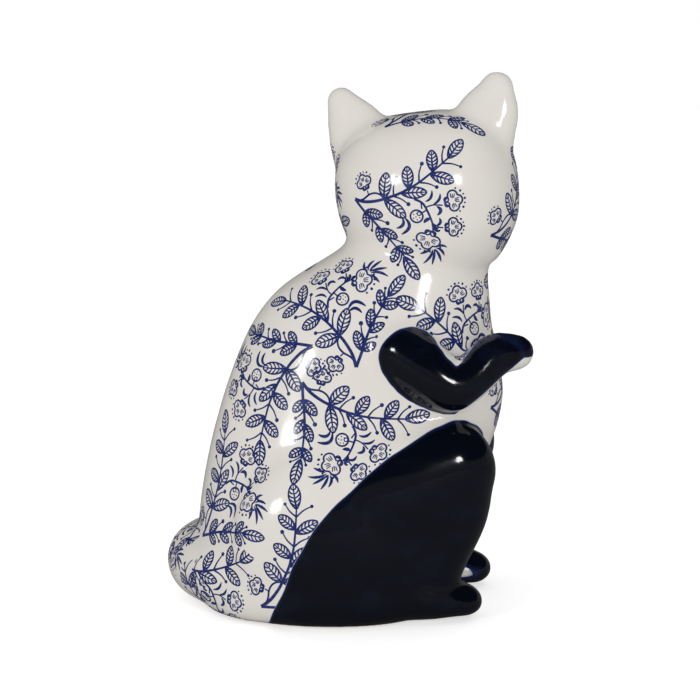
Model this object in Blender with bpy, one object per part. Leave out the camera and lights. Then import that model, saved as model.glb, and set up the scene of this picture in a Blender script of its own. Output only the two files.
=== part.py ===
import math

import bpy
import bmesh
import numpy as np
from mathutils import Matrix

# Ceramic cat figurine sitting up on its haunches, head turned to its left.
# All lengths below are millimetres. Rows are written as (x, forward, z, ...):
# x is towards the cat's left, forward is the way the body faces (world -Y) and
# z is measured from the underside of the ceramic.
MM = 0.001
ORIGIN = (7.55, -1.3)  # (x, forward) of the footprint's middle, the point the frame sits on

# --- the ware itself -------------------------------------------------------
WALL = 4.5             # slip-cast wall of the hollow figure
BASE_Z = 1.6           # underside of the base, a film of glue above the pads
BASE_PLATE = 5.0       # thickness of the closed underside
POUR_RADIUS = 11.0     # draining hole in the underside
POUR_FORWARD = -18.0   # where that hole sits, along the body
JOINT = 0.3            # slip-filled joint between two castings

# --- felt pads under the base ----------------------------------------------
PAD_RADIUS = 7.0
PAD_THICK = 1.5
PADS = {
    "felt_pad_front_right": (-30.0, 44.0),
    "felt_pad_front_left": (30.0, 44.0),
    "felt_pad_rear_right": (-38.0, -48.0),
    "felt_pad_rear_left": (38.0, -48.0),
}

# --- body: height, back, front, half width, squareness -----------------------
BODY = [
    (-1, -75, 44, 54, 2.5), (3, -79, 52, 61.5, 2.5), (11, -80.5, 56, 65, 2.4),
    (25, -81, 58, 65, 2.3), (45, -80, 61, 62, 2.25), (65, -77.5, 67, 57.5, 2.2),
    (85, -73.5, 74.5, 53, 2.2), (100, -69.5, 79, 50, 2.2), (115, -65, 80.5, 48, 2.2),
    (135, -57.5, 77, 45.5, 2.2), (150, -50, 74, 42.5, 2.1), (163, -40, 73, 39, 2.1),
    (172, -29, 72, 36, 2.1), (182, -13, 73, 33, 2.0), (190, -2.5, 75, 31.5, 2.0),
    (202, 1, 78, 31, 2.0),
]

# --- hind legs, written for the left side; rows carry (across, over) radii ---
HAUNCH_CENTRE = (42.0, -4.0, 40.0)
HAUNCH_RADII = (25.0, 55.0, 54.0)
HAUNCH_TURN = 6.0
KNEE = [(40, 0, 58, 23, 36), (41, 28, 69, 22, 33), (38.5, 54.5, 80, 19, 25)]
SHIN = [(38.5, 56, 78, 17, 20), (37, 55, 56, 16, 18), (35.5, 47.5, 33, 16, 15.5), (34, 42, 14, 15, 14)]
FOOT = [(37, 28, 12.5, 18, 14), (34.5, 44, 11, 17.5, 12.5), (32, 59, 8.5, 15, 8.5)]
LEFT_FOOT_AHEAD = 5.0   # the left foot is set a little further forward

# --- forelegs, bent at the elbow with the paws held out in front -------------
RIGHT_ARM = [
    (-38, 27, 140, 14, 15.5), (-42, 41, 130, 14, 15), (-42.5, 54, 122.5, 13, 13.5),
    (-39.5, 65, 126, 11.5, 11.5), (-35, 75, 134.5, 10.5, 10), (-31, 86, 137.5, 10, 9),
]
LEFT_ARM = [
    (38, 27, 140, 14, 15.5), (42, 40, 129, 14, 15), (42, 52, 120, 13, 13.5),
    (38.5, 63, 121.5, 11.5, 11.5), (33, 72, 127.5, 10.5, 10), (29, 80, 129, 10, 8.5),
]

# --- tail, out of the rear of the base and round the left side ---------------
TAIL = [
    (-30, -62, 20, 19, 19), (-10, -75, 19.5, 19.5, 19.5), (8, -78, 19.5, 20, 19.5),
    (30, -70, 19, 19, 19), (52, -48, 17.5, 17, 17.5), (67, -18, 16, 14, 15.5),
    (70, 14, 14, 12, 13.5), (64, 40, 12.5, 10, 12), (54, 58, 11, 8, 10),
]

# --- head, in its own frame: x to its left, forward to the nose, z up --------
HEAD_CENTRE = (3.0, 40.0, 217.0)
HEAD_TURN = 78.0        # degrees towards the cat's left
HEAD_TILT = 7.0         # right ear up
SKULL = [               # z, half width, half depth, sideways shift
    (-40, 30.5, 28, -1.5), (-30, 38.5, 35, -1), (-18, 45, 40, -0.5), (-5, 47.5, 42, 0),
    (8, 47.5, 42, 0), (20, 45, 39, 0), (30, 38.5, 33.5, 0), (37, 28, 25, 0), (41, 14, 12.5, 0),
]
RIGHT_EAR = [
    (-27, 0, 14, 20, 15), (-32.5, -1, 28, 18, 11), (-39, -1, 40, 15.5, 8), (-43.5, -1, 50.5, 9, 5.5),
]
LEFT_EAR = [
    (27, 0, 14, 20, 15), (31, -1, 28, 18.5, 11), (35.5, -1, 40, 15, 8), (40.5, -1, 52, 8, 5.5),
]
CHEEK = ((22, 18, -14), (20, 22, 16))
MUZZLE = ((0, 32, -12), (20, 20, 15))
WHISKER_PAD = ((8, 41, -13), (11, 11, 9.5))
CHIN = ((0, 37, -22), (10, 9, 7))
BRIDGE = [(0, 26, 16, 12, 10), (0, 38, 4, 9, 8), (0, 47, -6, 5.5, 4)]

# --- where the castings part -------------------------------------------------
NECK_POINT = (0.0, 36.0, 181.0)
NECK_SLOPE = 7.0        # degrees, higher at the front
ARM_MARGIN = 1.2        # the foreleg castings take this much of the body round the leg
TAIL_MARGIN = 2.2
LEG_MARGIN = 1.0
LEG_INNER = 20.0        # hind leg castings start this far from the middle
THIGH_EDGE = [          # side outline of the haunch, (forward, z)
    (-42, -8), (-38, 3), (-33, 14), (-28, 26), (-22, 40), (-11, 57), (3, 71), (18, 85),
    (35, 96), (48, 102.5), (58, 104), (67, 100.5), (75, 91), (78, 78), (74, 60), (65, 40),
    (54, 20), (50, -8),
]

# --- how finely the clay is modelled -----------------------------------------
# grid of the melt, rounds of smoothing and the share of the skin's faces kept
CLAY_MELT = (2.2, 14, 0.075)
HOLLOW_MELT = (3.6, 4, 0.1)
CUTTER_MELT = (2.4, 3, 0.06)
BEYOND = 150.0          # how far the plain cutters reach past the figure


def spline(rows, count):
    """Smooth row through the given rows."""
    p = np.array(rows, float)
    last = len(p) - 1
    t = np.linspace(0, last, count)
    i = np.minimum(t.astype(int), last - 1)
    u = (t - i)[:, None]
    a, b, c, d = p[np.maximum(i - 1, 0)], p[i], p[i + 1], p[np.minimum(i + 2, last)]
    return ((2 * u**3 - 3 * u**2 + 1) * b + (u**3 - 2 * u**2 + u) * (c - a) / 2
            + (-2 * u**3 + 3 * u**2) * c + (u**3 - u**2) * (d - b) / 2)


def skin(rings):
    """Closed body through a stack of rings, fans at both ends."""
    n = len(rings[0])
    verts = np.concatenate(list(rings) + [np.mean(rings[0], 0)[None], np.mean(rings[-1], 0)[None]])
    faces = []
    for r in range(len(rings) - 1):
        for k in range(n):
            m = (k + 1) % n
            faces.append((r * n + k, r * n + m, (r + 1) * n + m, (r + 1) * n + k))
    low, high = len(rings) * n, len(rings) * n + 1
    top = (len(rings) - 1) * n
    for k in range(n):
        m = (k + 1) % n
        faces.append((low, m, k))
        faces.append((high, top + k, top + m))
    return verts, faces


def stack(rows, inset=0.0, count=46, points=48):
    """Body of rounded-square rings: z, back, front, half width, squareness."""
    rings = []
    t = np.linspace(0, 2 * np.pi, points, endpoint=False)
    for z, back, front, half, square in spline(rows, count):
        power = 2.0 / square
        across = (half - inset) * np.sign(np.cos(t)) * np.abs(np.cos(t)) ** power
        along = ((front - back) / 2 - inset) * np.sign(np.sin(t)) * np.abs(np.sin(t)) ** power
        rings.append(np.stack([across, (front + back) / 2 + along, np.full(points, z)], 1))
    return skin(rings)


def skull(inset=0.0):
    rings = []
    t = np.linspace(0, 2 * np.pi, 44, endpoint=False)
    for z, half, deep, shift in spline(SKULL, 28):
        h, d = max(half - inset, 3.0), max(deep - inset, 3.0)
        z = max(min(z, SKULL[-1][0] - inset), SKULL[0][0])
        power = 2.0 / 2.2
        rings.append(np.stack([
            shift + h * np.sign(np.cos(t)) * np.abs(np.cos(t)) ** power,
            d * np.sign(np.sin(t)) * np.abs(np.sin(t)) ** power, np.full(44, z)], 1))
        if z >= SKULL[-1][0] - inset:
            break
    return skin(rings)


def tube(rows, up, grow=0.0, steps=36, points=28, caps=5):
    """Round-ended limb along a path; the second radius is measured along 'up'."""
    p = spline(rows, steps)
    centre = p[:, :3]
    tangent = np.gradient(centre, axis=0)
    tangent /= np.linalg.norm(tangent, axis=1)[:, None]
    angle = np.linspace(0, 2 * np.pi, points, endpoint=False)
    rings = []
    for c, t, across, over in zip(centre, tangent, p[:, 3] + grow, p[:, 4] + grow):
        side = np.cross(t, up)
        side /= np.linalg.norm(side)
        rings.append(c + np.outer(np.cos(angle) * across, side)
                     + np.outer(np.sin(angle) * over, np.cross(side, t)))
    tips = []
    for end, sign in ((0, -1.0), (-1, 1.0)):
        reach = (p[end, 3] + p[end, 4]) / 2 + grow
        cap = []
        for s in range(1, caps + 1):
            a = s / (caps + 0.5) * math.pi / 2
            cap.append(centre[end] + (rings[end] - centre[end]) * math.cos(a)
                       + sign * tangent[end] * reach * math.sin(a))
        tips.append(cap)
    return skin((tips[0][::-1] + rings + tips[1])[::-1])


def egg(centre, radii, turn=0.0, grow=0.0, points=40, rows=22):
    t = np.linspace(0, 2 * np.pi, points, endpoint=False)
    spin = np.array(Matrix.Rotation(math.radians(turn), 3, "Z"))
    r = np.array(radii, float) + grow
    rings = []
    for lat in np.linspace(-np.pi / 2, np.pi / 2, rows + 2)[1:-1]:
        ring = np.stack([r[0] * np.cos(lat) * np.cos(t), r[1] * np.cos(lat) * np.sin(t),
                         np.full(points, r[2] * np.sin(lat))], 1)
        rings.append(ring @ spin.T + np.array(centre, float))
    return skin(rings)


def mirrored(rows, side, ahead=0.0):
    return [(side * r[0], r[1] + ahead) + tuple(r[2:]) for r in rows]


def head_to_body(shape):
    """Places a shape written in the head's own frame on the neck."""
    turn, tilt = math.radians(HEAD_TURN), math.radians(HEAD_TILT)
    nose = np.array([math.sin(turn), math.cos(turn), 0.0])
    right = np.array([-math.cos(turn), math.sin(turn), 0.0])
    crown = np.array([0.0, 0.0, 1.0])
    right, crown = (right * math.cos(tilt) + crown * math.sin(tilt),
                    crown * math.cos(tilt) - right * math.sin(tilt))
    verts, faces = shape
    return verts @ np.stack([-right, nose, crown]) + np.array(HEAD_CENTRE), faces


def legs(side):
    ahead = LEFT_FOOT_AHEAD if side > 0 else 0.0
    foot = mirrored(FOOT, side, ahead)
    shin = mirrored(SHIN, side)
    shin[-1] = (shin[-1][0], shin[-1][1] + ahead) + tuple(shin[-1][2:])
    return shin, foot


def masses(inset=0.0):
    """Every lump the figure is modelled from; inset ones describe the hollow."""
    out = [stack(BODY, inset)]
    for side in (-1, 1):
        shin, foot = legs(side)
        out.append(egg((side * HAUNCH_CENTRE[0],) + HAUNCH_CENTRE[1:], HAUNCH_RADII,
                       side * HAUNCH_TURN, -inset))
        out.append(tube(mirrored(KNEE, side), (0, 0.2, 1), -inset))
        out.append(tube(shin, (0, 1, 0.2), -inset))
        out.append(tube(foot, (0, 0, 1), -inset))
    out.append(tube(RIGHT_ARM, (0, 0.3, 1), -inset))
    out.append(tube(LEFT_ARM, (0, 0.3, 1), -inset))
    out.append(tube(TAIL, (0, 0, 1), -inset, steps=60))
    out.append(head_to_body(skull(inset)))
    if inset:
        return out
    for ear in (RIGHT_EAR, LEFT_EAR):
        out.append(head_to_body(tube(ear, (0, 1, 0))))
    for side in (-1, 1):
        for centre, radii in (CHEEK, WHISKER_PAD):
            out.append(head_to_body(egg((side * centre[0],) + centre[1:], radii)))
    for centre, radii in (MUZZLE, CHIN):
        out.append(head_to_body(egg(centre, radii)))
    out.append(head_to_body(tube(BRIDGE, (0, 1, 0.5))))
    return out


def mesh_object(name, shapes, hidden=True):
    """One object from shapes given as (x, forward, z) millimetres above the base."""
    verts, faces, start = [], [], 0
    for v, f in shapes:
        verts.append((np.asarray(v) + (-ORIGIN[0], -ORIGIN[1], BASE_Z)) * (MM, -MM, MM))
        faces += [tuple(start + i for i in reversed(q)) for q in f]
        start += len(v)
    mesh = bpy.data.meshes.new(name)
    mesh.from_pydata(np.concatenate(verts).tolist(), [], faces)
    obj = bpy.data.objects.new(name, mesh)
    bpy.context.scene.collection.objects.link(obj)
    if hidden:
        obj.hide_render = True
        obj.display_type = "WIRE"
    return obj


def baked(obj, name):
    """A plain copy of an object with its modifiers worked in."""
    graph = bpy.context.evaluated_depsgraph_get()
    mesh = bpy.data.meshes.new_from_object(obj.evaluated_get(graph))
    mesh.name = name
    out = bpy.data.objects.new(name, mesh)
    bpy.context.scene.collection.objects.link(out)
    out.hide_render = True
    out.display_type = "WIRE"
    return out


def melt(obj, voxel, rounds, ratio):
    """Runs the lumps of an object together, smooths and thins the skin."""
    mod = obj.modifiers.new("melt", "REMESH")
    mod.mode = "VOXEL"
    mod.voxel_size = voxel * MM
    mod = obj.modifiers.new("soften", "SMOOTH")
    mod.factor = 0.5
    mod.iterations = rounds
    mod = obj.modifiers.new("thin", "DECIMATE")
    mod.ratio = ratio


def grown(obj, name, by):
    """A copy with its skin moved outwards."""
    out = bpy.data.objects.new(name, obj.data.copy())
    bpy.context.scene.collection.objects.link(out)
    out.hide_render = True
    out.display_type = "WIRE"
    mod = out.modifiers.new("grow", "DISPLACE")
    mod.strength = by * MM
    mod.mid_level = 0.0
    return out


def cut(obj, other, operation):
    mod = obj.modifiers.new(operation.lower(), "BOOLEAN")
    mod.operation = operation
    mod.solver = "EXACT"
    mod.object = other


def block(name, low, high, pitch=0.0, about=(0, 0, 0)):
    """Box between two corners, optionally set on a point and pitched up at the front."""
    x0, f0, z0 = low
    x1, f1, z1 = high
    v = np.array([(x, f, z) for z in (z0, z1) for f in (f0, f1) for x in (x0, x1)], float)
    a = math.radians(pitch)
    spun = v.copy()
    spun[:, 1] = v[:, 1] * math.cos(a) - v[:, 2] * math.sin(a)
    spun[:, 2] = v[:, 1] * math.sin(a) + v[:, 2] * math.cos(a)
    faces = [(0, 2, 3, 1), (4, 5, 7, 6), (0, 1, 5, 4), (2, 6, 7, 3), (0, 4, 6, 2), (1, 3, 7, 5)]
    return mesh_object(name, [(spun + np.array(about, float), faces)])


def rod(name, x, forward, low, high, radius, points=64, hidden=True):
    t = np.linspace(0, 2 * np.pi, points, endpoint=False)
    v = [(x + radius * math.cos(a), forward + radius * math.sin(a), z) for z in (low, high) for a in t]
    faces = [tuple(range(points))[::-1], tuple(range(points, 2 * points))]
    for k in range(points):
        m = (k + 1) % points
        faces.append((k, m, points + m, points + k))
    return mesh_object(name, [(np.array(v), faces)], hidden)


def thigh_block(side):
    """The haunch outline carried sideways out of the body."""
    edge = spline(THIGH_EDGE, 60)
    n = len(edge)
    v = np.array([(side * x, f, z) for x in (LEG_INNER, BEYOND) for f, z in edge])
    faces = [tuple(range(n)), tuple(range(n, 2 * n))[::-1]]
    for k in range(n):
        m = (k + 1) % n
        faces.append((k, n + k, n + m, m))
    if side < 0:
        faces = [f[::-1] for f in faces]
    return v, faces


def cutter(name, shapes):
    """Closed cutter from overlapping shapes, and the same grown by the joint."""
    rough = mesh_object(name + "_rough", shapes)
    melt(rough, *CUTTER_MELT)
    exact = baked(rough, name)
    return exact, grown(exact, name + "_wide", JOINT)


def leg_shapes(side):
    shin, foot = legs(side)
    return [thigh_block(side), tube(shin, (0, 1, 0.2), LEG_MARGIN), tube(foot, (0, 0, 1), LEG_MARGIN)]


def ceramic(name, colour, roughness):
    mat = bpy.data.materials.new(name)
    mat.use_nodes = True
    shader = mat.node_tree.nodes["Principled BSDF"]
    shader.inputs["Base Color"].default_value = (*colour, 1.0)
    shader.inputs["Roughness"].default_value = roughness
    return mat


def without_crumbs(obj):
    """Leaves only the largest body, so no flake of clay is left at a joint."""
    shape = bmesh.new()
    shape.from_mesh(obj.data)
    todo = set(shape.verts)
    bodies = []
    while todo:
        body, edge = set(), [todo.pop()]
        while edge:
            vert = edge.pop()
            body.add(vert)
            near = {e.other_vert(vert) for e in vert.link_edges} & todo
            todo -= near
            edge += near
        bodies.append(body)
    bodies.sort(key=len)
    crumbs = [vert for body in bodies[:-1] for vert in body]
    bmesh.ops.delete(shape, geom=crumbs, context="VERTS")
    shape.to_mesh(obj.data)
    shape.free()


def casting(name, keep=(), drop=(), colour=(0.78, 0.75, 0.71)):
    """One casting: the hollow clay kept inside some cutters and outside others."""
    rough = bpy.data.objects.new(name + "_rough", hollow_clay.data.copy())
    bpy.context.scene.collection.objects.link(rough)
    rough.hide_render = True
    rough.display_type = "WIRE"
    for other in keep:
        cut(rough, other, "INTERSECT")
    for other in drop:
        cut(rough, other, "DIFFERENCE")
    out = baked(rough, name)
    without_crumbs(out)
    out.hide_render = False
    out.display_type = "TEXTURED"
    out.data.materials.clear()
    out.data.materials.append(ceramic(name + "_glaze", colour, 0.08))
    return out


for startup in list(bpy.data.objects):
    bpy.data.objects.remove(startup)

# The outside skin: all lumps melted together, smoothed and cut flat underneath.
clay = mesh_object("clay", masses())
melt(clay, *CLAY_MELT)
cut(clay, block("below_base", (-BEYOND, -BEYOND, -BEYOND), (BEYOND, BEYOND, 0)), "DIFFERENCE")

# The hollow inside it, open through the draining hole.
core = mesh_object("core", masses(WALL))
melt(core, *HOLLOW_MELT)
cut(core, block("floor", (-BEYOND, -BEYOND, -BEYOND), (BEYOND, BEYOND, BASE_PLATE)), "DIFFERENCE")

solid = baked(clay, "solid")
inner = baked(core, "inner")
pour = rod("pour_hole", 0, POUR_FORWARD, -5, BASE_PLATE + 6, POUR_RADIUS)
cut(solid, inner, "DIFFERENCE")
cut(solid, pour, "DIFFERENCE")
hollow_clay = baked(solid, "hollow_clay")

# Cutters, each in the exact size and once more grown by the joint.
neck = block("neck", (-BEYOND, -BEYOND, 0), (BEYOND, BEYOND, BEYOND), NECK_SLOPE, NECK_POINT)
neck_wide = block("neck_wide", (-BEYOND, -BEYOND, -JOINT), (BEYOND, BEYOND, BEYOND), NECK_SLOPE, NECK_POINT)
arm_right, arm_right_wide = cutter("arm_right", [tube(RIGHT_ARM, (0, 0.3, 1), ARM_MARGIN)])
arm_left, arm_left_wide = cutter("arm_left", [tube(LEFT_ARM, (0, 0.3, 1), ARM_MARGIN)])
tail, tail_wide = cutter("tail", [tube(TAIL, (0, 0, 1), TAIL_MARGIN, steps=60)])
leg_right, leg_right_wide = cutter("leg_right", leg_shapes(-1))
leg_left, leg_left_wide = cutter("leg_left", leg_shapes(1))

cobalt = (0.006, 0.009, 0.03)
casting("head_casting", [neck])
casting("right_foreleg_casting", [arm_right], [neck_wide], cobalt)
casting("left_foreleg_casting", [arm_left], [neck_wide], cobalt)
casting("tail_casting", [tail])
casting("right_hind_leg_casting", [leg_right], [tail_wide, arm_right_wide], cobalt)
casting("left_hind_leg_casting", [leg_left], [tail_wide, arm_left_wide], cobalt)
casting("torso_casting", [], [neck_wide, arm_right_wide, arm_left_wide, tail_wide,
                              leg_right_wide, leg_left_wide])

for name, (x, forward) in PADS.items():
    pad = rod(name, x, forward, -BASE_Z, PAD_THICK - BASE_Z, PAD_RADIUS, 40, hidden=False)
    pad.data.materials.append(ceramic(name + "_felt", (0.16, 0.15, 0.14), 0.95))
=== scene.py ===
import math

import bpy
import numpy as np
from mathutils import Matrix, Vector
from mathutils.bvhtree import BVHTree


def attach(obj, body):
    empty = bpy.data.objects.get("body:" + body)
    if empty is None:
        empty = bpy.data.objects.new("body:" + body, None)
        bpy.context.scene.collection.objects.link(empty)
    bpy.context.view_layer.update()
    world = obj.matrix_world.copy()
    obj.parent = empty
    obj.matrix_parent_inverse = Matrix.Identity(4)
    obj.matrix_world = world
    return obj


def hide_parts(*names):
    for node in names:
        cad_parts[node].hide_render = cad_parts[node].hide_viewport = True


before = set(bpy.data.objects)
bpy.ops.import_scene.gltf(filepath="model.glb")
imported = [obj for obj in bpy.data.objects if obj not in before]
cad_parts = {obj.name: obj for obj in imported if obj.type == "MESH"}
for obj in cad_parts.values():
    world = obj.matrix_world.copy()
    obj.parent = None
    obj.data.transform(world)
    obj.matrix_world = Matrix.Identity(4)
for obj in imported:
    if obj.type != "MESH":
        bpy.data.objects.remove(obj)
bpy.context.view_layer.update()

# Shapes are written as (x, forward, z) in millimetres above the underside:
# x to the cat's left, forward the way the body faces, which is the frame's -Y.
footprint = {"x": 7.55, "forward": -1.3, "lift": 1.6}

body = {
    # height, back, front, half width, squareness
    "rings": [
        (-1, -75, 44, 54, 2.5), (3, -79, 52, 61.5, 2.5), (11, -80.5, 56, 65, 2.4),
        (25, -81, 58, 65, 2.3), (45, -80, 61, 62, 2.25), (65, -77.5, 67, 57.5, 2.2),
        (85, -73.5, 74.5, 53, 2.2), (100, -69.5, 79, 50, 2.2), (115, -65, 80.5, 48, 2.2),
        (135, -57.5, 77, 45.5, 2.2), (150, -50, 74, 42.5, 2.1), (163, -40, 73, 39, 2.1),
        (172, -29, 72, 36, 2.1), (182, -13, 73, 33, 2.0), (190, -2.5, 75, 31.5, 2.0),
        (202, 1, 78, 31, 2.0),
    ],
}

hindLeg = {
    # written for the left side; the last two numbers are radii across and over
    "haunchCentre": (42.0, -4.0, 40.0), "haunchRadii": (25.0, 55.0, 54.0), "haunchTurn": 6.0,
    "knee": [(40, 0, 58, 23, 36), (41, 28, 69, 22, 33), (38.5, 54.5, 80, 19, 25)],
    "shin": [
        (38.5, 56, 78, 17, 20), (37, 55, 56, 16, 18), (35.5, 47.5, 33, 16, 15.5), (34, 42, 14, 15, 14),
    ],
    "foot": [(37, 28, 12.5, 18, 14), (34.5, 44, 11, 17.5, 12.5), (32, 59, 8.5, 15, 8.5)],
    "leftFootAhead": 5.0, "margin": 1.0,
    # side outline of the haunch, (forward, z)
    "outline": [
        (-42, -8), (-38, 3), (-33, 14), (-28, 26), (-22, 40), (-11, 57), (3, 71), (18, 85),
        (35, 96), (48, 102.5), (58, 104), (66, 100.5), (73, 92), (78.5, 79), (79, 60), (72, 40),
        (76, 20), (78, -8),
    ],
    "innerSide": 20.0,     # the casting starts this far from the middle
    # and the cobalt this far, further beside the shin, with rounded corners
    "paintInner": 18.0, "paintWaist": 9.0, "paintCorner": 14.0,
}

foreleg = {
    "right": [
        (-38, 27, 140, 14, 15.5), (-42, 41, 130, 14, 15), (-42.5, 54, 122.5, 13, 13.5),
        (-39.5, 65, 127.5, 11.5, 11.5), (-35, 75, 137, 10.5, 11.5), (-31, 86, 138, 10, 9.5),
    ],
    "left": [
        (38, 27, 140, 14, 15.5), (42, 40, 129, 14, 15), (42, 52, 120, 13, 13.5),
        (38.5, 63, 121.5, 11.5, 11.5), (33, 72, 127.5, 10.5, 10), (29, 80, 129, 10, 8.5),
    ],
    "margin": 1.2,
    # how far outside the leg the cobalt ends, and how much lower it runs beside the chest
    "paintMargin": 0.8, "paintDrop": 3.0, "dropFades": (58.0, 68.0), "flank": 40.0, "paintStart": 5.5,
    # forward, z and slope of the line under which the paw is white, and the white tip's level
    "palmDrop": (78.0, 126.5, 40.0), "palmTop": {"right": 136.8, "left": 129.5},
    "leftPalmLower": 1.1,
}

tail = {
    "rows": [
        (-30, -62, 20, 19, 19), (-10, -75, 19.5, 19.5, 19.5), (8, -78, 19.5, 20, 19.5),
        (30, -70, 19, 19, 19), (52, -48, 17.5, 17, 17.5), (67, -18, 16, 14, 15.5),
        (70, 14, 14, 12, 13.5), (64, 40, 12.5, 10, 12), (54, 58, 11, 8, 10),
    ],
    "margin": 2.2,
}

head = {
    "centre": (3.0, 40.0, 217.0), "turn": 78.0, "tilt": 7.0,
    # in the head's own frame: z, half width, half depth, sideways shift
    "skull": [
        (-40, 30.5, 28, -1.5), (-30, 38.5, 35, -1), (-18, 45, 40, -0.5), (-5, 47.5, 42, 0),
        (8, 47.5, 42, 0), (20, 45, 39, 0), (30, 38.5, 33.5, 0), (37, 28, 25, 0), (41, 14, 12.5, 0),
    ],
    "rightEar": [
        (-27, 0, 14, 20, 15), (-32.5, -1, 28, 18, 11), (-39, -1, 40, 15.5, 8), (-43.5, -1, 50.5, 9, 5.5),
    ],
    "leftEar": [
        (27, 0, 14, 20, 15), (31, -1, 28, 18.5, 11), (35.5, -1, 40, 15, 8), (40.5, -1, 52, 8, 5.5),
    ],
    "cheek": ((22, 18, -14), (20, 22, 16)),
    "muzzle": ((0, 32, -12), (20, 20, 15)),
    "whiskerPad": ((8, 41, -13), (11, 11, 9.5)),
    "chin": ((0, 37, -22), (10, 9, 7)),
    "bridge": [(0, 26, 16, 12, 10), (0, 38, 4, 9, 8), (0, 47, -6, 5.5, 4)],
    "earHollow": 4.0,
    "neckPoint": (0.0, 36.0, 181.0), "neckSlope": 7.0,
}

clay = {"voxel": 1.25, "rounds": 44, "borderStep": 0.3, "borderWave": 0.22, "normalRounds": 10}


def spline(rows, count):
    p = np.array(rows, float)
    last = len(p) - 1
    t = np.linspace(0, last, count)
    i = np.minimum(t.astype(int), last - 1)
    u = (t - i)[:, None]
    a, b, c, d = p[np.maximum(i - 1, 0)], p[i], p[i + 1], p[np.minimum(i + 2, last)]
    return ((2 * u**3 - 3 * u**2 + 1) * b + (u**3 - 2 * u**2 + u) * (c - a) / 2
            + (-2 * u**3 + 3 * u**2) * c + (u**3 - u**2) * (d - b) / 2)


def skin(rings):
    n = len(rings[0])
    points = np.concatenate(list(rings) + [np.mean(rings[0], 0)[None], np.mean(rings[-1], 0)[None]])
    faces = []
    for r in range(len(rings) - 1):
        for k in range(n):
            m = (k + 1) % n
            faces.append((r * n + k, r * n + m, (r + 1) * n + m, (r + 1) * n + k))
    low, high, top = len(rings) * n, len(rings) * n + 1, (len(rings) - 1) * n
    for k in range(n):
        m = (k + 1) % n
        faces.append((low, m, k))
        faces.append((high, top + k, top + m))
    return points, faces


def roundedSquare(t, across, along, squareness):
    power = 2.0 / squareness
    return (across * np.sign(np.cos(t)) * np.abs(np.cos(t)) ** power,
            along * np.sign(np.sin(t)) * np.abs(np.sin(t)) ** power)


def bodyStack(rows):
    t = np.linspace(0, 2 * np.pi, 64, endpoint=False)
    rings = []
    for z, back, front, half, square in spline(rows, 60):
        x, f = roundedSquare(t, half, (front - back) / 2, square)
        rings.append(np.stack([x, (front + back) / 2 + f, np.full(64, z)], 1))
    return skin(rings)


def skullStack(rows):
    t = np.linspace(0, 2 * np.pi, 56, endpoint=False)
    rings = []
    for z, half, deep, shift in spline(rows, 36):
        x, f = roundedSquare(t, half, deep, 2.2)
        rings.append(np.stack([shift + x, f, np.full(56, z)], 1))
    return skin(rings)


def limb(rows, up, steps=44):
    p = spline(rows, steps)
    centre = p[:, :3]
    tangent = np.gradient(centre, axis=0)
    tangent /= np.linalg.norm(tangent, axis=1)[:, None]
    angle = np.linspace(0, 2 * np.pi, 32, endpoint=False)
    rings = []
    for c, t, across, over in zip(centre, tangent, p[:, 3], p[:, 4]):
        side = np.cross(t, up)
        side /= np.linalg.norm(side)
        rings.append(c + np.outer(np.cos(angle) * across, side)
                     + np.outer(np.sin(angle) * over, np.cross(side, t)))
    tips = []
    for end, sign in ((0, -1.0), (-1, 1.0)):
        reach = (p[end, 3] + p[end, 4]) / 2
        cap = []
        for s in range(1, 6):
            a = s / 5.5 * math.pi / 2
            cap.append(centre[end] + (rings[end] - centre[end]) * math.cos(a)
                       + sign * tangent[end] * reach * math.sin(a))
        tips.append(cap)
    return skin((tips[0][::-1] + rings + tips[1])[::-1])


def egg(centre, radii, turn=0.0):
    t = np.linspace(0, 2 * np.pi, 48, endpoint=False)
    spin = np.array(Matrix.Rotation(math.radians(turn), 3, "Z"))
    rings = []
    for lat in np.linspace(-np.pi / 2, np.pi / 2, 30)[1:-1]:
        ring = np.stack([radii[0] * np.cos(lat) * np.cos(t), radii[1] * np.cos(lat) * np.sin(t),
                         np.full(48, radii[2] * np.sin(lat))], 1)
        rings.append(ring @ spin.T + np.array(centre, float))
    return skin(rings)


def mirrored(rows, side, ahead=0.0):
    return [(side * r[0], r[1] + ahead) + tuple(r[2:]) for r in rows]


def headAxes():
    turn, tilt = math.radians(head["turn"]), math.radians(head["tilt"])
    nose = np.array([math.sin(turn), math.cos(turn), 0.0])
    right = np.array([-math.cos(turn), math.sin(turn), 0.0])
    crown = np.array([0.0, 0.0, 1.0])
    right, crown = (right * math.cos(tilt) + crown * math.sin(tilt),
                    crown * math.cos(tilt) - right * math.sin(tilt))
    return np.stack([-right, nose, crown])      # rows: left, forward and up of the head


def onNeck(shape):
    points, faces = shape
    return points @ headAxes() + np.array(head["centre"]), faces


def legRows(side):
    ahead = hindLeg["leftFootAhead"] if side > 0 else 0.0
    foot = mirrored(hindLeg["foot"], side, ahead)
    shin = mirrored(hindLeg["shin"], side)
    shin[-1] = (shin[-1][0], shin[-1][1] + ahead) + tuple(shin[-1][2:])
    return shin, foot


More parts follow.
